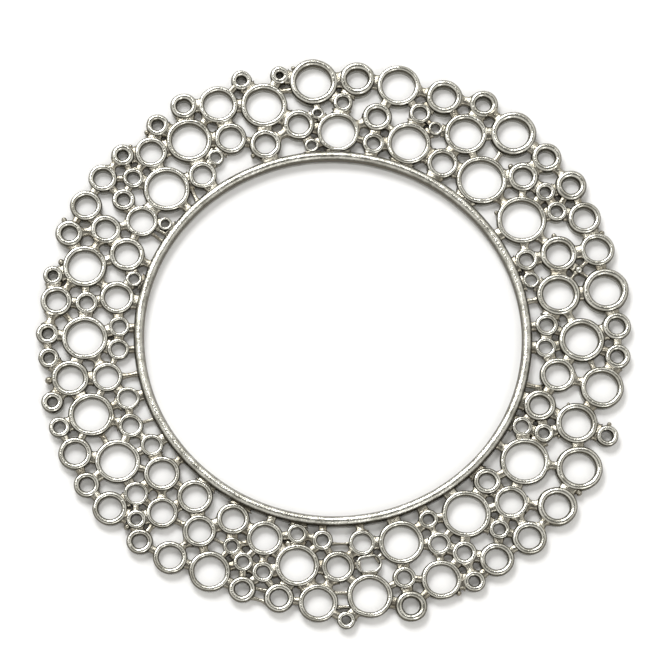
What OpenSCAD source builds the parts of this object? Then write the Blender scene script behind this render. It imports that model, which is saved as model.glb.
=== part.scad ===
// Openwork display frame for one large coin. A heavy plain bezel ring holds the coin. Around it
// lies a band of small round ringlets, side by side, soldered to the bezel and to each other.
// Everything stands on one flat back at z = 0, and the middle of the opening is the origin.

/* [Opening] */
// Diameter of the opening, a little more than the coin that drops into it
opening_d = 38.4; // [30:0.1:50]

/* [Bezel] */
// Width of the bezel ring, from its inner wall to its outer wall
bezel_w = 1.1; // [0.8:0.1:1.6]
// Height of the bezel ring's straight walls, below its round crown
bezel_side_h = 0.75; // [0.6:0.05:1.2]

/* [Ringlets] */
// Height of each ringlet's straight walls, below its round crown
side_h = 0.65; // [0.45:0.05:1]
// Thickness of every ringlet's wire, as a share of the sizes in the lists
wire_share = 1; // [0.8:0.05:1.2]
// Least space between two ringlets, or between a ringlet and the bezel
least_gap = 0.04; // [0.02:0.01:0.1]

/* [Solder] */
// Widest space that a solder joint bridges between two ringlets
joint_reach = 0.82; // [0.6:0.02:0.9]
// Widest space that a solder foot bridges between a ringlet and the bezel
foot_reach = 0.85; // [0.7:0.05:0.9]
// Width of the widest solder joint
joint_w = 0.75; // [0.5:0.05:1]
// Width of a solder joint, as a share of the smaller ringlet's outer diameter
joint_share = 0.26; // [0.2:0.01:0.3]
// How far the solder's top lies below the top of the ringlets' straight walls
joint_drop = 0.05; // [0.05:0.05:0.3]

/* [Hidden] */
$fn = 64;
bezel_ir = opening_d / 2;
bezel_or = bezel_ir + bezel_w;
// The lists below were drawn round a bezel of this outer radius, and grow or shrink with it
drawn_bezel_or = 20.3;
lace = bezel_or / drawn_bezel_or;
joint_h = side_h - joint_drop;
// Solder stops this far short of the back, so that the frame stands on its rings alone
solder_lift = 0.1;
// How far past its walls a neighbour still counts as near, and how often neighbours are eased apart
near = 1.1 * lace;
ease_steps = 60;

// Each ringlet is [angle, distance from the middle of the opening, outer diameter, wire width].
// Large ringlets, each a sub-part of its own
LARGE = [
    [4, 25.4, 4.8, 0.75], [15, 28.4, 4.8, 0.8], [16, 23.5, 4.6, 0.75], [38, 23.3, 5.2, 0.6],
    [52.7, 23.1, 5.3, 0.6], [54.5, 29.2, 4.8, 0.8], [62.7, 26.4, 4.5, 0.65], [74, 22.7, 4.7, 0.6],
    [80.3, 28.5, 4.5, 0.6], [93, 22.7, 4.4, 0.5], [98.2, 28.1, 5, 0.75], [109.7, 26.4, 4.9, 0.65],
    [119, 28, 4.1, 0.6], [128.7, 26.1, 4.8, 0.65], [140.7, 23.4, 4.9, 0.6], [167.6, 26.5, 4.6, 0.65],
    [184.6, 25.3, 4.8, 0.6], [203.2, 26, 4.7, 0.6], [215.8, 25.7, 4.7, 0.6], [247.7, 28.1, 4.3, 0.6],
    [265.5, 24.6, 4.6, 0.6], [271, 28.5, 4.1, 0.6], [281.7, 27.9, 4.7, 0.6], [291.5, 23, 4.7, 0.6],
    [297, 28.1, 4.2, 0.6], [309.6, 23.2, 5.1, 0.6], [325.7, 29, 4.2, 0.8], [330, 23.5, 5.1, 0.6],
    [335, 28.6, 4.8, 0.75], [344, 26.4, 4.4, 0.7], [353.4, 27.9, 4.5, 0.65]
];
// Medium ringlets
MEDIUM = [
    [24, 28.8, 3.6, 0.6], [26, 24.9, 3.9, 0.75], [31.3, 29, 3.5, 0.65], [38.6, 29.7, 3.3, 0.8],
    [46.2, 29.6, 3.2, 0.75], [46.3, 26.4, 3.2, 0.7], [63.6, 22.2, 3.3, 0.6], [70.7, 28.8, 3.8, 0.75],
    [83.4, 24.6, 3.1, 0.7], [89, 28.5, 3.7, 0.8], [102.8, 23.6, 3.3, 0.65], [112.3, 22.2, 3.3, 0.65],
    [120, 24.1, 3.4, 0.6], [137.2, 27.5, 3.4, 0.6], [151.4, 23.2, 3.4, 0.5], [155, 28.8, 3.3, 0.6],
    [157.6, 26, 3.2, 0.65], [161.4, 22.9, 3.7, 0.65], [173.2, 22.4, 3.6, 0.6], [176.5, 28.5, 3.3, 0.65],
    [194, 27.3, 3.9, 0.65], [195, 23.4, 3.2, 0.5], [210, 29.1, 3.5, 0.65], [223.5, 29.2, 3.6, 0.65],
    [224.5, 22.8, 3.8, 0.6], [231.6, 25.7, 3.3, 0.5], [235, 22, 3.7, 0.6], [239.3, 28.9, 3.5, 0.6],
    [241.2, 24.9, 3.5, 0.6], [246.7, 22, 3.4, 0.6], [256.4, 22.7, 3.8, 0.6], [263, 28.5, 3.1, 0.7],
    [275.2, 24.6, 3.4, 0.6], [289.4, 29.8, 3.3, 0.8], [309, 28.9, 3.6, 0.7], [317, 29.2, 3.6, 0.7],
    [319.8, 25.2, 3.6, 0.6], [345.3, 22.2, 3.4, 0.75], [354.6, 23.2, 3.7, 0.65]
];
// Small ringlets
SMALL = [
    [0.5, 29.1, 2.7, 0.7], [7, 29, 3, 0.7], [62.9, 29.9, 3, 0.75], [125.5, 29.4, 2.8, 0.7],
    [131, 22.2, 3, 0.55], [148, 29.2, 3, 0.6], [161.7, 29.2, 2.9, 0.7], [216.8, 29.7, 2.7, 0.65],
    [232.5, 29.5, 2.7, 0.65], [255.3, 28.6, 2.8, 0.7], [281.7, 22.2, 2.7, 0.45], [319.6, 21.9, 2.9, 0.65],
    [8.3, 21.9, 2.4, 0.55], [27.7, 21.6, 2.4, 0.55], [83, 21.7, 2.4, 0.6], [132, 29.2, 2.4, 0.65],
    [141.3, 29.1, 2.4, 0.7], [149.4, 26.1, 2.4, 0.6], [176, 25.4, 2.4, 0.55], [183.7, 29.1, 2.4, 0.7],
    [202, 21.9, 2.5, 0.4], [209.2, 22.7, 2.6, 0.5], [216.6, 21.8, 2.4, 0.45], [224.4, 26.2, 2.5, 0.4],
    [289.7, 26.7, 2.4, 0.55], [300, 24.5, 2.5, 0.5], [304, 26.6, 2.6, 0.6]
];
// Mini ringlets
MINI = [
    [1.8, 21.7, 2.2, 0.45], [35.4, 26.9, 2.2, 0.55], [40.5, 27.1, 2.1, 0.55], [74, 26.1, 2.3, 0.5],
    [91.8, 25.7, 2.1, 0.5], [104.8, 29.2, 2, 0.7], [112.5, 29.5, 2.2, 0.65], [144, 26.8, 2.2, 0.5],
    [171.2, 29.3, 2.1, 0.6], [181.4, 21.8, 2.2, 0.45], [187.8, 21.9, 2.3, 0.45], [189, 29, 2.2, 0.6],
    [198, 29.3, 2.3, 0.7], [203.7, 29.5, 2.2, 0.55], [228.7, 28, 2.1, 0.55], [249.6, 24.7, 1.9, 0.45],
    [253.4, 25.8, 2.1, 0.5], [258.4, 26.2, 2.3, 0.55], [264.3, 21.5, 2.1, 0.45], [271.2, 21.8, 2.2, 0.55],
    [276.6, 30.3, 1.9, 0.55], [300.4, 21.7, 2.1, 0.55], [302.8, 29.7, 2.3, 0.65], [313.5, 26.5, 2.2, 0.55],
    [338, 21.4, 2.1, 0.45], [338.8, 23.7, 2.1, 0.55], [343.7, 29.7, 2.3, 0.6]
];
// Tiny ringlets, fitted into the corners between larger ones
TINY = [
    [21.7, 21.3, 1.7, 0.3], [69.4, 25.3, 1.5, 0.3], [97.4, 24.5, 1.3, 0.3], [100, 21.1, 1.5, 0.3],
    [126, 23.1, 1.7, 0.35], [148.6, 21.1, 1.4, 0.3], [166.7, 21.4, 1.7, 0.35]
];
// One solid bead, and one ringlet squeezed oval: the oval's diameter is its narrow one
BEAD = [[20.8, 26.2, 1, 0.5]];
OVAL = [[282.6, 24.5, 1.9, 0.35]];
// Distance between the middles of the oval's two round ends
oval_stretch = 0.8 * lace;

// Neighbours that stand close with no solder between them, each [one's angle, the other's angle]
UNSOLDERED = [[98.2, 109.7], [140.7, 148.6], [184.6, 189], [198, 203.7]];

// Posts and bars that brace the wider spaces, each [angle, distance, angle, distance, width]
POSTS = [
    [16, 20, 16, 22, 0.5], [195.4, 20, 195.2, 22.5, 0.45], [210, 20, 209.4, 22, 0.25],
    [350.4, 20, 350.3, 21.6, 0.4], [153.2, 20, 152.6, 22, 0.25], [150.6, 20, 151, 22, 0.3],
    [137.4, 20, 135.8, 21.9, 0.35], [263, 29.2, 255.3, 29, 0.3], [263, 28, 255.3, 28, 0.3],
    [281.7, 28.9, 271, 28.9, 0.3], [281.7, 27.4, 271, 27.4, 0.3], [281.7, 22.2, 271.2, 22.1, 0.2],
    [109.7, 27.7, 98.2, 27.6, 0.4], [4, 25.4, 353.4, 27.9, 0.5], [54.5, 29.2, 52.7, 23.1, 0.5],
    [184.6, 25.3, 176.5, 28.5, 0.5], [203.2, 26, 215.8, 25.7, 0.5], [231.6, 25.7, 241.2, 24.9, 0.5],
    [231.6, 25.7, 232.5, 29.5, 0.5], [241.2, 24.9, 249.6, 24.7, 0.25]
];

ALL = concat(LARGE, MEDIUM, SMALL, MINI, TINY, BEAD, OVAL);
COUNT = len(ALL);
RADII = [for (r = ALL) lace * r[2] / 2];
DRAWN = [for (r = ALL) lace * r[1] * [cos(r[0]), sin(r[0])]];
NEAR = [for (i = [0:COUNT - 1]) [for (j = [0:COUNT - 1])
    if (j != i && norm(DRAWN[i] - DRAWN[j]) < RADII[i] + RADII[j] + near) j]];

// Ease every pair that stands too close apart, and every ringlet off the bezel
function total(v, i = 0, sum = [0, 0]) = i == len(v) ? sum : total(v, i + 1, sum + v[i]);
function off_neighbour(at, i, j) =
    let (apart = at[i] - at[j], want = RADII[i] + RADII[j] + least_gap, have = norm(apart))
    have < want ? apart / have * (want - have) * 0.5 : [0, 0];
function off_bezel(at, i) =
    let (want = bezel_or + RADII[i] + least_gap, have = norm(at[i]))
    have < want ? at[i] / have * (want - have) : [0, 0];
function eased(at, steps) = steps == 0 ? at :
    eased([for (i = [0:COUNT - 1]) at[i] + off_bezel(at, i) +
        total([for (j = NEAR[i]) off_neighbour(at, i, j)])], steps - 1);
PLACE = eased(DRAWN, ease_steps);

// Pairs of ringlets close enough for a solder joint, and ringlets close enough to the bezel for a foot
function left_open(pair) = len([for (open = UNSOLDERED) if (open == pair) 1]) > 0;
function soldered(i, j) = norm(PLACE[i] - PLACE[j]) < RADII[i] + RADII[j] + joint_reach * lace
    && !left_open([ALL[i][0], ALL[j][0]]) && !left_open([ALL[j][0], ALL[i][0]]);
JOINED = [for (i = [0:COUNT - 1]) for (j = NEAR[i]) if (i < j && soldered(i, j)) [i, j]];
FOOTED = [for (i = [0:COUNT - 1]) if (norm(PLACE[i]) < bezel_or + RADII[i] + foot_reach * lace) i];

function at_polar(angle, distance) = lace * distance * [cos(angle), sin(angle)];
function first_of(group) = group == 0 ? 0 : first_of(group - 1) + len(GROUPS[group - 1]);
function in_sector(i, sector, sectors) = floor(ALL[i][0] * sectors / 360) == sector;

GROUPS = [LARGE, MEDIUM, SMALL, MINI, TINY, BEAD, OVAL];
LARGE_NAMES = [for (i = [1:len(LARGE)]) str("ringlet_large_", i)];
MEDIUM_NAMES = [for (i = [1:8]) str("ringlets_medium_", i)];
SMALL_NAMES = [for (i = [1:4]) str("ringlets_small_", i)];
MINI_NAMES = [for (i = [1:4]) str("ringlets_mini_", i)];

// Section of a ring's wire: flat back, straight walls and a round crown, outer wall at x = outer_r
module wire_section(outer_r, width, straight) {
    translate([outer_r - width, 0]) square([width, straight]);
    translate([outer_r - width / 2, straight]) circle(d = width);
}

module bezel_ring() {
    color("silver") rotate_extrude($fn = 180) wire_section(bezel_or, bezel_w, bezel_side_h);
}

module ringlet(i) {
    color("silver") translate(PLACE[i])
        rotate_extrude() wire_section(RADII[i], ALL[i][3] * wire_share, side_h);
}

// The ringlets of one size that stand in one sector of the band
module ringlets(group, sector, sectors) {
    first = first_of(group);
    for (i = [first:first + len(GROUPS[group]) - 1])
        if (in_sector(i, sector, sectors)) ringlet(i);
}

// Outline of a flat oval whose round ends have this radius
module oval(end_r) {
    for (side = [-1, 1]) translate([side * oval_stretch / 2, 0]) circle(end_r);
    translate([-oval_stretch / 2, -end_r]) square([oval_stretch, 2 * end_r]);
}

module oval_ringlet() {
    i = first_of(6);
    crown = 0.15;
    color("silver") translate(PLACE[i]) rotate(ALL[i][0] + 90) {
        linear_extrude(side_h + crown) difference() {
            oval(RADII[i]);
            oval(RADII[i] - ALL[i][3] * wire_share);
        }
    }
}

module bead() {
    i = first_of(5);
    color("silver") translate(PLACE[i]) {
        cylinder(r = RADII[i], h = joint_h);
        translate([0, 0, joint_h]) sphere(RADII[i]);
    }
}

// Outline of one ringlet, as solder and posts must leave it free
module outline(i) {
    if (i == first_of(6)) translate(PLACE[i]) rotate(ALL[i][0] + 90) oval(RADII[i]);
    else translate(PLACE[i]) circle(RADII[i]);
}

module bar(from, to, width) {
    run = to - from;
    translate(from) rotate(atan2(run[1], run[0])) translate([0, -width / 2]) square([norm(run), width]);
}

// A bar between two ringlets, cut to their walls and to those of any third ringlet that it meets
module joint_outline(i, j) {
    width = min(joint_w, joint_share * 2 * min(RADII[i], RADII[j]) + 0.1);
    middle = (PLACE[i] + PLACE[j]) / 2;
    difference() {
        bar(PLACE[i], PLACE[j], width);
        outline(i);
        outline(j);
        for (k = NEAR[i])
            if (k != j && norm(PLACE[k] - middle) < RADII[k] + width + joint_reach) outline(k);
    }
}

// A bar from a ringlet to the bezel
module foot_outline(i) {
    width = min(joint_w, joint_share * 2 * RADII[i] + 0.1);
    toward = PLACE[i] / norm(PLACE[i]);
    difference() {
        bar(toward * (bezel_or - bezel_w / 2), PLACE[i], width);
        circle(bezel_or, $fn = 180);
        outline(i);
        for (k = NEAR[i])
            if (norm(PLACE[k]) < bezel_or + RADII[k] + foot_reach) outline(k);
    }
}

module solder_joints() {
    color("gainsboro") translate([0, 0, solder_lift]) linear_extrude(joint_h - solder_lift) {
        for (pair = JOINED) joint_outline(pair[0], pair[1]);
        for (i = FOOTED) foot_outline(i);
    }
}

module posts() {
    color("gainsboro") translate([0, 0, solder_lift]) linear_extrude(joint_h - solder_lift)
        for (post = POSTS) {
            from = at_polar(post[0], post[1]);
            to = at_polar(post[2], post[3]);
            middle = (from + to) / 2;
            difference() {
                bar(from, to, post[4]);
                circle(bezel_or, $fn = 180);
                for (k = [0:COUNT - 1])
                    if (norm(PLACE[k] - middle) < RADII[k] + norm(to - from) / 2 + post[4]) outline(k);
            }
        }
}

bezel_ring();
for (i = [0:len(LARGE) - 1]) ringlet(i);
for (s = [0:7]) ringlets(1, s, 8);
for (s = [0:3]) ringlets(2, s, 4);
for (s = [0:3]) ringlets(3, s, 4);
ringlets(4, 0, 1);  // ringlets_tiny
oval_ringlet();
bead();
solder_joints();
posts();
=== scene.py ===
"""Looks of an openwork frame for one large coin: a bezel ring inside a lacy band of soldered ringlets.

The sizes and places of the bezel, ringlets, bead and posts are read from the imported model, so the pieces
made here stand where its nodes stand. Lengths are in metres. MM turns millimetres into metres.
"""

import math
import random

import bmesh
import bpy
from mathutils import Matrix, Vector


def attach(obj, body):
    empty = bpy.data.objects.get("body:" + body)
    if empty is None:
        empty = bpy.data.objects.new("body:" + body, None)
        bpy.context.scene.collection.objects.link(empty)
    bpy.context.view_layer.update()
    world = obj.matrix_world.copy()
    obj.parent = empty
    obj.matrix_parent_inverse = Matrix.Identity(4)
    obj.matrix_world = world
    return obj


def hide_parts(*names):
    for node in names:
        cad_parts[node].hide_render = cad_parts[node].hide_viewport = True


MM = 0.001
RING_SEGMENTS = 64
BEZEL_SEGMENTS = 256
SECTION_SEGMENTS = 14
# How much of the crown's roundness the soft edge at a ring's foot has
FOOT_ROUNDNESS = 0.2
# Vertices this close together are one vertex
WELD = 0.0005 * MM
# Inward shift of a ringlet's foot against its crown, as a share of the height, at the outer rim
RIM_LEAN = 0.2
# Widest spaces that solder bridges, between two ringlets and between a ringlet and the bezel
JOINT_REACH = 0.82 * MM
FOOT_REACH = 0.85 * MM
# Spaces narrower than this are filled with solder
FILLED_GAP = 0.5 * MM
# Solder starts this far above the back
SOLDER_LIFT = 0.1 * MM
# How deep solder reaches into a wall: as a share of a ringlet's and the bezel's wire, and for a post
RINGLET_BITE = 0.4
BEZEL_BITE = 0.2
POST_BITE = 0.3 * MM
# Where a neck of solder is cut across, as shares of its length from the middle, and how much of its
# flare each cut and the end have
NECK_FLARE = [(0.16, 0.06), (0.32, 0.4), (0.5, 1)]
# How much wider than its waist the end of a neck is, in a narrow space and in a wide one
TIGHT_FLARE = 0.2
WIDE_FLARE = 1.2
# How much of a neck's widening its height takes too
RISE_SHARE = 0.08
# Solder's height as a share of the lower wall beside it, and a bead's as a share of the lowest wall
SOLDER_HEIGHT = (0.8, 0.93)
SPATTER_HEIGHT = (0.7, 0.95)
# A slim neck's width: at most this, or this share of the smaller radius, and how uneven it comes out
SLIM_NECK = 0.85 * MM
SLIM_SHARE = 0.65
UNEVEN = (0.85, 1.1)
# How far a spattered bead's middle stands off a ringlet, as a share of its radius
BEAD_STANDOFF = 0.4
# How far the hand-made wire of the ringlets and of the bezel strays from a true ring, every way
STRAY = 0.05 * MM
BEZEL_STRAY = 0.02 * MM
# Sizes of the waves that the bezel, a round ringlet, the oval one and the solder stray in
BEZEL_WAVE = 3 * MM
RINGLET_WAVE = 1.6 * MM
OVAL_WAVE = 1.2 * MM
SOLDER_WAVE = 0.7 * MM

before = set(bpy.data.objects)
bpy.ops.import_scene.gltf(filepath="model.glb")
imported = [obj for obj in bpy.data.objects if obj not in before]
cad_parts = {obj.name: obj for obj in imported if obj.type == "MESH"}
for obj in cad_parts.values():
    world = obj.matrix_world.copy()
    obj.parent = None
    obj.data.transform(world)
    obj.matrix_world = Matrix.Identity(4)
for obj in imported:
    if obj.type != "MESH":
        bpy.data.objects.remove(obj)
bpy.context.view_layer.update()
bpy.ops.object.select_all(action="DESELECT")
random.seed(7)


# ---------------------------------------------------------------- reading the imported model


def loose_parts(node):
    """The vertex positions of each separate solid of a node, in the order of the node's own vertices."""
    mesh = bmesh.new()
    mesh.from_mesh(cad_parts[node].data)
    bmesh.ops.remove_doubles(mesh, verts=mesh.verts, dist=WELD)
    waiting = set(mesh.verts)
    parts = []
    for first in mesh.verts:
        if first not in waiting:
            continue
        waiting.remove(first)
        edge = [first]
        part = []
        while edge:
            vertex = edge.pop()
            part.append(vertex.co.copy())
            for link in vertex.link_edges:
                other = link.other_vert(vertex)
                if other in waiting:
                    waiting.remove(other)
                    edge.append(other)
        parts.append(part)
    mesh.free()
    return parts


class Ring:
    """Middle, outer radius, wire width and height of one ring, measured on its solid."""

    def __init__(self, points):
        low = Vector([min(p[i] for p in points) for i in range(3)])
        high = Vector([max(p[i] for p in points) for i in range(3)])
        middle = (low + high) / 2
        self.centre = Vector((middle.x, middle.y, 0))
        self.outer = (high.x - low.x) / 2
        inner = min((Vector((p.x, p.y, 0)) - self.centre).length for p in points)
        self.wire = self.outer - inner
        self.top = high.z


class Bar:
    """The two ends, width and height of one straight bar, measured on its solid."""

    def __init__(self, points):
        flat = [Vector((p.x, p.y, 0)) for p in points]
        middle = sum(flat, Vector()) / len(flat)
        spread_x = sum((p.x - middle.x) ** 2 for p in flat)
        spread_y = sum((p.y - middle.y) ** 2 for p in flat)
        both = sum((p.x - middle.x) * (p.y - middle.y) for p in flat)
        turn = 0.5 * math.atan2(2 * both, spread_x - spread_y)
        along = Vector((math.cos(turn), math.sin(turn), 0))
        across = Vector((-along.y, along.x, 0))
        reach = [(p - middle).dot(along) for p in flat]
        side = [(p - middle).dot(across) for p in flat]
        self.start = middle + along * min(reach) + across * (min(side) + max(side)) / 2
        self.end = middle + along * max(reach) + across * (min(side) + max(side)) / 2
        self.width = max(side) - min(side)
        self.top = max(p.z for p in points)


def rings_in(node):
    """Every ring of a node."""
    return [Ring(part) for part in loose_parts(node)]


RINGLET_NODES = [name for name in sorted(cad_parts) if name.startswith("ringlet")]
bezel = rings_in("bezel_ring")[0]
ringlets = {node: rings_in(node) for node in RINGLET_NODES}
all_rings = [ring for node in RINGLET_NODES for ring in ringlets[node]]
band_width = max(ring.centre.length for ring in all_rings) - bezel.outer
wall_top = min(ring.top - ring.wire / 2 for ring in all_rings)

# Close neighbours with an open space between them: one's angle and the other's, in whole degrees
UNSOLDERED = [(98, 110), (141, 149), (185, 189), (198, 204)]
# How near to those angles the two ringlets are, in degrees, and how near to each other
ANGLE_SLACK = 0.8
CLOSE_BY = 6 * MM

# Beads of solder that ran where they weren't wanted: angle in degrees, and distance from the middle and
# radius in millimetres
SPATTER = [
    (193.5, 29.9, 0.42), (228.5, 29.6, 0.34), (159.5, 30.2, 0.3), (168, 29.2, 0.34), (135, 29.4, 0.28),
    (138.6, 29.4, 0.26), (117.5, 21.3, 0.26), (102, 29.9, 0.24), (59.6, 29.6, 0.32), (50.3, 29.8, 0.3),
    (27.5, 30.1, 0.3), (330.5, 29.9, 0.34), (347.5, 29.4, 0.26), (349, 24.6, 0.2), (340.5, 25.4, 0.16),
    (50.3, 26.3, 0.3), (262.4, 22.6, 0.4), (299, 30, 0.26), (32, 25.5, 0.3), (45, 21.4, 0.26),
]


# ---------------------------------------------------------------- modelling


def select_vertices(piece, wanted):
    """Enters edit mode with just those vertices selected whose place passes the test."""
    bpy.ops.object.mode_set(mode="EDIT")
    bpy.ops.mesh.select_mode(type="VERT")
    bpy.ops.mesh.select_all(action="DESELECT")
    bpy.ops.object.mode_set(mode="OBJECT")
    for vertex in piece.data.vertices:
        vertex.select = wanted(vertex.co)
    bpy.ops.object.mode_set(mode="EDIT")


def wire_ring(name, ring, segments, stretch=0):
    """A ring of wire: a round crown, upright walls and a nearly flat foot. Stretch pulls it along X."""
    crown = ring.wire / 2
    bpy.ops.object.select_all(action="DESELECT")
    bpy.ops.mesh.primitive_torus_add(
        major_segments=segments,
        minor_segments=SECTION_SEGMENTS,
        major_radius=ring.outer - crown,
        minor_radius=crown,
    )
    piece = bpy.context.object
    piece.name = name
    select_vertices(piece, lambda place: place.z < -0.01 * crown)
    bpy.ops.transform.resize(value=(1, 1, FOOT_ROUNDNESS), center_override=(0, 0, 0))
    drop = ring.top - crown - FOOT_ROUNDNESS * crown
    bpy.ops.transform.translate(value=(0, 0, -drop))
    bpy.ops.object.mode_set(mode="OBJECT")
    for side in (-1, 1):
        select_vertices(piece, lambda place: place.x * side > 0)
        bpy.ops.transform.translate(value=(side * stretch / 2, 0, 0))
        bpy.ops.object.mode_set(mode="OBJECT")
    piece.data.transform(Matrix.Translation((0, 0, ring.top - crown)))
    return piece


def put(piece, place, turn=0):
    """Turns a piece about Z and moves it, in its mesh."""
    piece.data.transform(Matrix.Translation(place) @ Matrix.Rotation(turn, 4, "Z"))


def lean(piece, ring):
    """Lets a ringlet's foot slip inward under its crown, more so towards the outer rim."""
    away = ring.centre.normalized()
    share = RIM_LEAN * max(0, ring.centre.length - bezel.outer) / band_width
    raise_up = Matrix.Translation((0, 0, -ring.top))
    tilt = Matrix.Identity(4)
    tilt[0][2] = away.x * share
    tilt[1][2] = away.y * share
    piece.data.transform(raise_up.inverted() @ tilt @ raise_up)


def joined(name, pieces):
    """One object out of several."""
    bpy.ops.object.select_all(action="DESELECT")
    for piece in pieces:
        piece.select_set(True)
    bpy.context.view_layer.objects.active = pieces[0]
    if len(pieces) > 1:
        bpy.ops.object.join()
    piece = bpy.context.object
    piece.name = name
    return piece


def stray(piece, reach, wave):
    """Bends a piece a little out of true, as by hand, and sets its foot back on the table."""
    bpy.ops.object.select_all(action="DESELECT")
    piece.select_set(True)
    bpy.context.view_layer.objects.active = piece
    clouds = bpy.data.textures.new("stray", "CLOUDS")
    clouds.cloud_type = "COLOR"
    clouds.noise_scale = wave
    clouds.noise_depth = 1
    bend = piece.modifiers.new("stray", "DISPLACE")
    bend.texture = clouds
    bend.texture_coords = "LOCAL"
    bend.direction = "RGB_TO_XYZ"
    bend.mid_level = 0.5
    bend.strength = 2 * reach
    bpy.ops.object.modifier_apply(modifier=bend.name)
    # Drawn in by the same reach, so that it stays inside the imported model's box
    inward = 1 - reach / bezel.outer
    piece.data.transform(Matrix.Diagonal((inward, inward, 1, 1)))
    select_vertices(piece, lambda place: place.z < 0)
    bpy.ops.transform.resize(value=(1, 1, 0), center_override=(0, 0, 0))
    bpy.ops.object.mode_set(mode="OBJECT")


def finished(piece, node, material):
    """Smooth shading, a material, and its place in the frame. Node is what the piece replaces."""
    bpy.ops.object.select_all(action="DESELECT")
    piece.select_set(True)
    bpy.context.view_layer.objects.active = piece
    bpy.ops.object.shade_smooth()
    piece.data.materials.clear()
    piece.data.materials.append(material)
    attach(piece, "root")
    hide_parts(node)


def neck_blank(flare):
    """A rod along X, 1 long, and about 1 wide and 1 high at its waist. Its ends are wider by the flare."""
    bpy.ops.object.select_all(action="DESELECT")
    bpy.ops.mesh.primitive_cylinder_add(
        vertices=12, radius=0.5, depth=1, end_fill_type="NGON", rotation=(0, math.pi / 2, 0)
    )
    blank = bpy.context.object
    bpy.ops.object.transform_apply(location=False, rotation=True, scale=False)
    # A flatter top and squarer shoulders than a round rod's
    select_vertices(blank, lambda spot: abs(spot.z) > 0.42 and abs(spot.y) > 0.1)
    bpy.ops.transform.resize(value=(1, 1.4, 1.07), center_override=(0, 0, 0))
    bpy.ops.object.mode_set(mode="OBJECT")
    select_vertices(blank, lambda spot: 0.2 < abs(spot.z) < 0.3)
    bpy.ops.transform.resize(value=(1, 1.1, 1.35), center_override=(0, 0, 0))
    bpy.ops.object.mode_set(mode="OBJECT")
    cuts = [place for place, share in NECK_FLARE if share < 1]
    for place in sorted([-cut for cut in cuts] + cuts):
        bpy.ops.object.mode_set(mode="EDIT")
        bpy.ops.mesh.select_all(action="SELECT")
        bpy.ops.mesh.bisect(plane_co=(place, 0, 0), plane_no=(1, 0, 0))
        bpy.ops.object.mode_set(mode="OBJECT")
    for place, share in NECK_FLARE:
        width, height = 1 + flare * share, 1 + RISE_SHARE * flare * share
        select_vertices(blank, lambda spot: abs(abs(spot.x) - place) < 0.01)
        bpy.ops.transform.resize(value=(1, width, height), center_override=(0, 0, -0.5))
        bpy.ops.object.mode_set(mode="OBJECT")
    return blank


def neck(blank, start, end, width, low, high):
    """A copy of the rod, laid from one point to another between two heights."""
    piece = blank.copy()
    piece.data = blank.data.copy()
    bpy.context.scene.collection.objects.link(piece)
    run = end - start
    size = Matrix.Diagonal((run.length, width, high - low, 1))
    turn = Matrix.Rotation(math.atan2(run.y, run.x), 4, "Z")
    middle = (start + end) / 2 + Vector((0, 0, (low + high) / 2))
    piece.data.transform(Matrix.Translation(middle) @ turn @ size)
    return piece


def solder_top(wall):
    """The solder's height between walls of this height: uneven, and below their tops."""
    return wall * random.uniform(*SOLDER_HEIGHT)


def solder_width(gap, one_radius, other_radius):
    """A neck fills a narrow space as far as it stays narrow, and spans a wide one with a slim waist."""
    slim = min(SLIM_NECK, SLIM_SHARE * min(one_radius, other_radius))
    shared = 1 / (1 / one_radius + 1 / other_radius)
    filled = 2 * math.sqrt(2 * shared * max(0, FILLED_GAP - gap))
    return max(slim, filled) * random.uniform(*UNEVEN)


def ring_joint(blanks, one, two):
    """Solder between two ringlets."""
    along = (two.centre - one.centre).normalized()
    start = one.centre + along * (one.outer - one.wire * RINGLET_BITE)
    end = two.centre - along * (two.outer - two.wire * RINGLET_BITE)
    gap = (two.centre - one.centre).length - one.outer - two.outer
    blank = blanks["wide"] if gap > FILLED_GAP else blanks["tight"]
    top = solder_top(min(one.top, two.top))
    return neck(blank, start, end, solder_width(gap, one.outer, two.outer), SOLDER_LIFT, top)


def bezel_joint(blanks, ring):
    """Solder between a ringlet and the bezel."""
    along = ring.centre.normalized()
    start = along * (bezel.outer - bezel.wire * BEZEL_BITE)
    end = ring.centre - along * (ring.outer - ring.wire * RINGLET_BITE)
    gap = ring.centre.length - ring.outer - bezel.outer
    blank = blanks["wide"] if gap > FILLED_GAP else blanks["tight"]
    width = solder_width(gap, ring.outer, bezel.outer)
    return neck(blank, start, end, width, SOLDER_LIFT, solder_top(ring.top))


def degrees_of(ring):
    """The angle at which a ringlet stands round the frame, from 0 to 360."""
    return math.degrees(math.atan2(ring.centre.y, ring.centre.x)) % 360


def left_open(one, two):
    """Whether the space between two close neighbours holds no solder."""
    low, high = sorted((degrees_of(one), degrees_of(two)))
    near = (one.centre - two.centre).length < CLOSE_BY
    return near and any(
        abs(low - first) < ANGLE_SLACK and abs(high - second) < ANGLE_SLACK for first, second in UNSOLDERED
    )


def beside_a_ringlet(spot, radius):
    """The place nearest to a spot where a bead of this radius clings to a ringlet's outer wall."""
    ring = min(all_rings, key=lambda ring: abs((spot - ring.centre).length - ring.outer))
    return ring.centre + (spot - ring.centre).normalized() * (ring.outer + BEAD_STANDOFF * radius)


def solder_bead(place, radius, high):
    """A small round bead on a short stem, the middle of its ball this high above the back."""
    bpy.ops.object.select_all(action="DESELECT")
    bpy.ops.mesh.primitive_uv_sphere_add(segments=12, ring_count=8, radius=radius)
    piece = bpy.context.object
    select_vertices(piece, lambda spot: spot.z < -0.3 * radius)
    bpy.ops.transform.resize(value=(0.85, 0.85, 1), center_override=(0, 0, 0))
    bpy.ops.transform.translate(value=(0, 0, radius - high))
    bpy.ops.object.mode_set(mode="OBJECT")
    put(piece, place + Vector((0, 0, high)))
    return piece


# ---------------------------------------------------------------- materials


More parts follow.
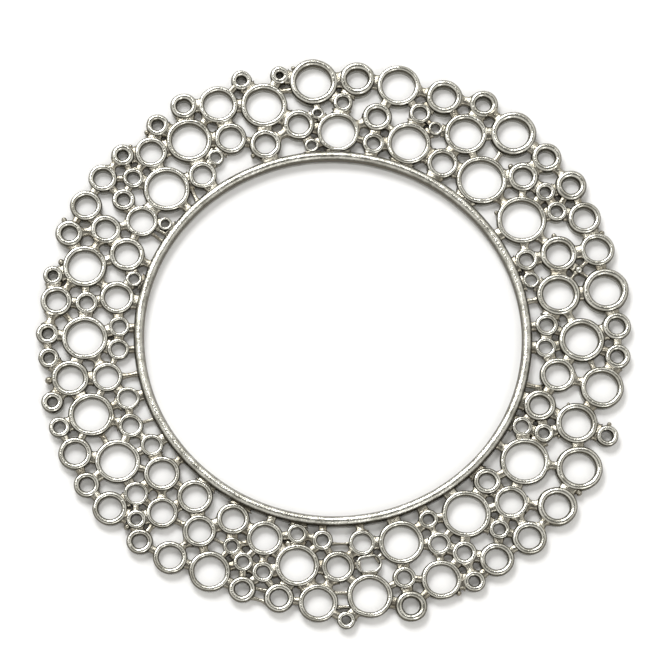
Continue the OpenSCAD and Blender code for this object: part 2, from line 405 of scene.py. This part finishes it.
def link(tree, start, end):
    """Joins two sockets of a node tree."""
    tree.links.new(start, end)


def noise(tree, place, scale, detail, rough=0.5):
    """Cloudy noise, from 0 to 1. A larger scale makes it finer."""
    node = tree.nodes.new("ShaderNodeTexNoise")
    node.inputs["Scale"].default_value = scale
    node.inputs["Detail"].default_value = detail
    node.inputs["Roughness"].default_value = rough
    link(tree, place, node.inputs["Vector"])
    return node.outputs["Fac"]


def mapped(tree, value, from_low, from_high, to_low, to_high):
    """A value brought from one range to another, and held within it."""
    node = tree.nodes.new("ShaderNodeMapRange")
    node.inputs["From Min"].default_value = from_low
    node.inputs["From Max"].default_value = from_high
    node.inputs["To Min"].default_value = to_low
    node.inputs["To Max"].default_value = to_high
    link(tree, value, node.inputs["Value"])
    return node.outputs["Result"]


def mixed(tree, share, one, two):
    """One colour or the other, by share. Each is a colour or another node's output."""
    node = tree.nodes.new("ShaderNodeMix")
    node.data_type = "RGBA"
    link(tree, share, node.inputs["Factor"])
    for socket, colour in ((node.inputs[6], one), (node.inputs[7], two)):
        if isinstance(colour, tuple):
            socket.default_value = (*colour, 1)
        else:
            link(tree, colour, socket)
    return node.outputs[2]


def upright_part(tree, vector):
    """The Z part of a vector."""
    split = tree.nodes.new("ShaderNodeSeparateXYZ")
    link(tree, vector, split.inputs["Vector"])
    return split.outputs["Z"]


def multiplied(tree, one, two):
    """The product of two values."""
    node = tree.nodes.new("ShaderNodeMath")
    node.operation = "MULTIPLY"
    link(tree, one, node.inputs[0])
    link(tree, two, node.inputs[1])
    return node.outputs["Value"]


# How fine the dull patches, the uneven polish and the grain are
PATCH_SCALE = 650
POLISH_SCALE = 1500
GRAIN_SCALE = 3200
FINE_GRAIN_SCALE = 4200
# The upright part of a surface's normal where it counts as flank, which gets the painted shade, and where
# it counts as crown
FLANK_NORMAL = 0.52
CROWN_NORMAL = 0.88
# Below the first height only a share of the painted flank shade is left, and above the second it is whole
FLANK_SHADE_WEAK_BELOW = 0.3 * MM
FLANK_SHADE_WHOLE_ABOVE = 0.58 * MM
LOW_FLANK_SHADE_SHARE = 0.1


def metal_with_painted_flank_shade(name, bright, dull, painted_flank_shade, rough, grain, grain_scale=GRAIN_SCALE):
    """Metal with dull patches, and painted shade on the shoulders and flanks where the surface turns from
    upright, so only the crowns stay bright.
    """
    material = bpy.data.materials.new(name)
    material.use_nodes = True
    tree = material.node_tree
    shader = tree.nodes["Principled BSDF"]
    shader.inputs["Metallic"].default_value = 1
    coordinates = tree.nodes.new("ShaderNodeTexCoord")
    place = coordinates.outputs["Object"]
    patches = mapped(tree, noise(tree, place, PATCH_SCALE, 4, 0.6), 0.42, 0.66, 0, 1)
    face = mixed(tree, patches, bright, dull)
    normal = upright_part(tree, coordinates.outputs["Normal"])
    # Painted shade: surfaces that turn away from upright take the dark flank colour in place of the
    # metal's own
    flank = mapped(tree, normal, FLANK_NORMAL, CROWN_NORMAL, 1, 0)
    # The painted flank shade is weaker low down on the walls than under the crown
    height = upright_part(tree, place)
    flank_shade_by_height = mapped(tree, height, FLANK_SHADE_WEAK_BELOW, FLANK_SHADE_WHOLE_ABOVE, LOW_FLANK_SHADE_SHARE, 1)
    colour = mixed(tree, multiplied(tree, flank, flank_shade_by_height), face, painted_flank_shade)
    link(tree, colour, shader.inputs["Base Color"])
    polish = mapped(tree, noise(tree, place, POLISH_SCALE, 4), 0.3, 0.7, rough * 0.6, rough * 1.5)
    link(tree, polish, shader.inputs["Roughness"])
    bump = tree.nodes.new("ShaderNodeBump")
    bump.inputs["Strength"].default_value = 1
    bump.inputs["Distance"].default_value = grain
    link(tree, noise(tree, place, grain_scale, 5, 0.65), bump.inputs["Height"])
    link(tree, bump.outputs["Normal"], shader.inputs["Normal"])
    return material


# The darkest colour of each metal is painted shade, laid on its flanks and shoulders
bezel_metal = metal_with_painted_flank_shade(
    "bezel_metal",
    bright=(0.66, 0.65, 0.595),
    dull=(0.36, 0.35, 0.305),
    painted_flank_shade=(0.11, 0.1, 0.08),
    rough=0.1,
    grain=0.05 * MM,
    grain_scale=FINE_GRAIN_SCALE,
)
ringlet_metal = metal_with_painted_flank_shade(
    "ringlet_metal",
    bright=(0.68, 0.67, 0.61),
    dull=(0.42, 0.407, 0.353),
    painted_flank_shade=(0.09, 0.082, 0.062),
    rough=0.1,
    grain=0.03 * MM,
)
solder_metal = metal_with_painted_flank_shade(
    "solder_metal",
    bright=(0.42, 0.4, 0.34),
    dull=(0.25, 0.225, 0.175),
    painted_flank_shade=(0.22, 0.2, 0.16),
    rough=0.16,
    grain=0.05 * MM,
)


# ---------------------------------------------------------------- the pieces

bezel_piece = wire_ring("bezel", bezel, BEZEL_SEGMENTS)
put(bezel_piece, bezel.centre)
stray(bezel_piece, BEZEL_STRAY, BEZEL_WAVE)
finished(bezel_piece, "bezel_ring", bezel_metal)

for node in RINGLET_NODES:
    made = []
    for ring in ringlets[node]:
        piece = wire_ring("ring", ring, RING_SEGMENTS)
        put(piece, ring.centre)
        lean(piece, ring)
        made.append(piece)
    wires = joined(node + "_wire", made)
    stray(wires, STRAY, RINGLET_WAVE)
    finished(wires, node, ringlet_metal)


def oval_link():
    """The one ringlet that is squeezed oval, its long side along the band."""
    points = loose_parts("oval_ringlet")[0]
    middle = sum(points, Vector()) / len(points)
    middle.z = 0
    outward = middle.normalized()
    sideways = Vector((-outward.y, outward.x, 0))
    half_length = max(abs((p - middle).dot(sideways)) for p in points)
    half_width = max(abs((p - middle).dot(outward)) for p in points)
    ring = Ring(points)
    ring.outer = half_width
    ring.wire = half_width - min((Vector((p.x, p.y, 0)) - middle).length for p in points)
    piece = wire_ring("oval", ring, RING_SEGMENTS, 2 * (half_length - half_width))
    put(piece, middle, math.atan2(sideways.y, sideways.x))
    ring.centre = middle
    return piece, ring


oval, oval_ring = oval_link()
stray(oval, STRAY, OVAL_WAVE)
finished(oval, "oval_ringlet", ringlet_metal)
all_rings.append(oval_ring)

ball = Ring(loose_parts("bead")[0])
bead = solder_bead(ball.centre, ball.outer, ball.top - ball.outer)
finished(bead, "bead", ringlet_metal)
all_rings.append(ball)

blanks = {"tight": neck_blank(TIGHT_FLARE), "wide": neck_blank(WIDE_FLARE)}
necks = []
for number, one in enumerate(all_rings):
    for two in all_rings[number + 1 :]:
        close = (one.centre - two.centre).length < one.outer + two.outer + JOINT_REACH
        if close and not left_open(one, two):
            necks.append(ring_joint(blanks, one, two))
    if one.centre.length < bezel.outer + one.outer + FOOT_REACH:
        necks.append(bezel_joint(blanks, one))
for angle, distance, radius in SPATTER:
    turn = math.radians(angle)
    spot = Vector((math.cos(turn), math.sin(turn), 0)) * distance * MM
    place = beside_a_ringlet(spot, radius * MM)
    necks.append(solder_bead(place, radius * MM, wall_top * random.uniform(*SPATTER_HEIGHT)))
solder = joined("solder", necks)
stray(solder, STRAY, SOLDER_WAVE)
finished(solder, "solder_joints", solder_metal)

rods = []
for bar in [Bar(part) for part in loose_parts("posts")]:
    into_wall = (bar.end - bar.start).normalized() * POST_BITE
    start, end = bar.start - into_wall, bar.end + into_wall
    rods.append(neck(blanks["wide"], start, end, bar.width, SOLDER_LIFT, bar.top))
for blank in blanks.values():
    bpy.data.objects.remove(blank)
rod_piece = joined("rods", rods)
stray(rod_piece, STRAY, SOLDER_WAVE)
finished(rod_piece, "posts", solder_metal)


# ---------------------------------------------------------------- floor, light and camera


def soft_light(name, place, size, power):
    """A rectangular light that faces the middle of the frame."""
    bpy.ops.object.light_add(type="AREA", location=place)
    light = bpy.context.object
    light.name = name
    light.data.shape = "RECTANGLE"
    light.data.size, light.data.size_y = size
    light.data.energy = power
    light.rotation_mode = "QUATERNION"
    light.rotation_quaternion = (-Vector(place)).to_track_quat("-Z", "Y")


def white_paper():
    """Plain matt paper."""
    material = bpy.data.materials.new("white_paper")
    material.use_nodes = True
    shader = material.node_tree.nodes["Principled BSDF"]
    shader.inputs["Base Color"].default_value = (0.92, 0.92, 0.92, 1)
    shader.inputs["Roughness"].default_value = 0.9
    shader.inputs["Specular IOR Level"].default_value = 0.1
    return material


# The light tent's brightness by height, from 0 level with the table to 1 overhead: dark along the table,
# bright walls, and a greyer opening overhead
TENT_SHADES = [(0.05, 0.06), (0.24, 0.3), (0.36, 1.0), (0.8, 1.0), (0.92, 0.3), (1, 0.22)]
# Green and blue of the tent's light, against its red
WARM_GREEN = 0.985
WARM_BLUE = 0.95


def light_tent():
    """A world that is a white tent round the table, a little warm."""
    world = bpy.data.worlds.new("light_tent")
    world.use_nodes = True
    tree = world.node_tree
    background = tree.nodes["Background"]
    direction = tree.nodes.new("ShaderNodeTexCoord").outputs["Generated"]
    tent = tree.nodes.new("ShaderNodeValToRGB")
    link(tree, upright_part(tree, direction), tent.inputs["Fac"])
    while len(tent.color_ramp.elements) < len(TENT_SHADES):
        tent.color_ramp.elements.new(0.5)
    for element, (height, shade) in zip(tent.color_ramp.elements, TENT_SHADES):
        element.position = height
        element.color = (shade, WARM_GREEN * shade, WARM_BLUE * shade, 1)
    link(tree, tent.outputs["Color"], background.inputs["Color"])
    background.inputs["Strength"].default_value = 1
    return world


bpy.ops.object.select_all(action="DESELECT")
bpy.ops.mesh.primitive_plane_add(size=3)
floor = bpy.context.object
floor.name = "table"
floor.data.materials.append(white_paper())

soft_light("key", place=(-0.2, 0.41, 0.5), size=(0.3, 0.3), power=3)
soft_light("strip", place=(0.3, -0.45, 0.45), size=(0.12, 0.4), power=0.6)

bpy.context.scene.world = light_tent()
bpy.context.scene.view_settings.view_transform = "Standard"

# The camera stands far off behind a long lens, high above the front, and is rolled a little. The view
# height is what it sees from top to bottom, at the frame
DISTANCE = 0.9
ELEVATION = math.radians(70)
ROLL = math.radians(4.29)
VIEW_HEIGHT = 67.9 * MM
# Where the middle of the view stands against the frame's, to the right and up, and up the bezel's height
AIM_SHIFT = Vector((-0.09 * MM, 0.49 * MM, 0))
AIM_HEIGHT = 0.3
bpy.ops.object.camera_add()
camera = bpy.context.object
camera.data.sensor_width = 36
camera.data.lens = camera.data.sensor_width * DISTANCE / VIEW_HEIGHT
camera.data.clip_start, camera.data.clip_end = 0.01, 10
away = Vector((0, -math.cos(ELEVATION), math.sin(ELEVATION)))
turned = (-away).to_track_quat("-Z", "Y") @ Matrix.Rotation(ROLL, 3, "Z").to_quaternion()
aim = Vector((0, 0, AIM_HEIGHT * bezel.top)) + turned @ AIM_SHIFT
camera.rotation_mode = "QUATERNION"
camera.rotation_quaternion = turned
camera.location = aim + away * DISTANCE
bpy.context.scene.camera = camera
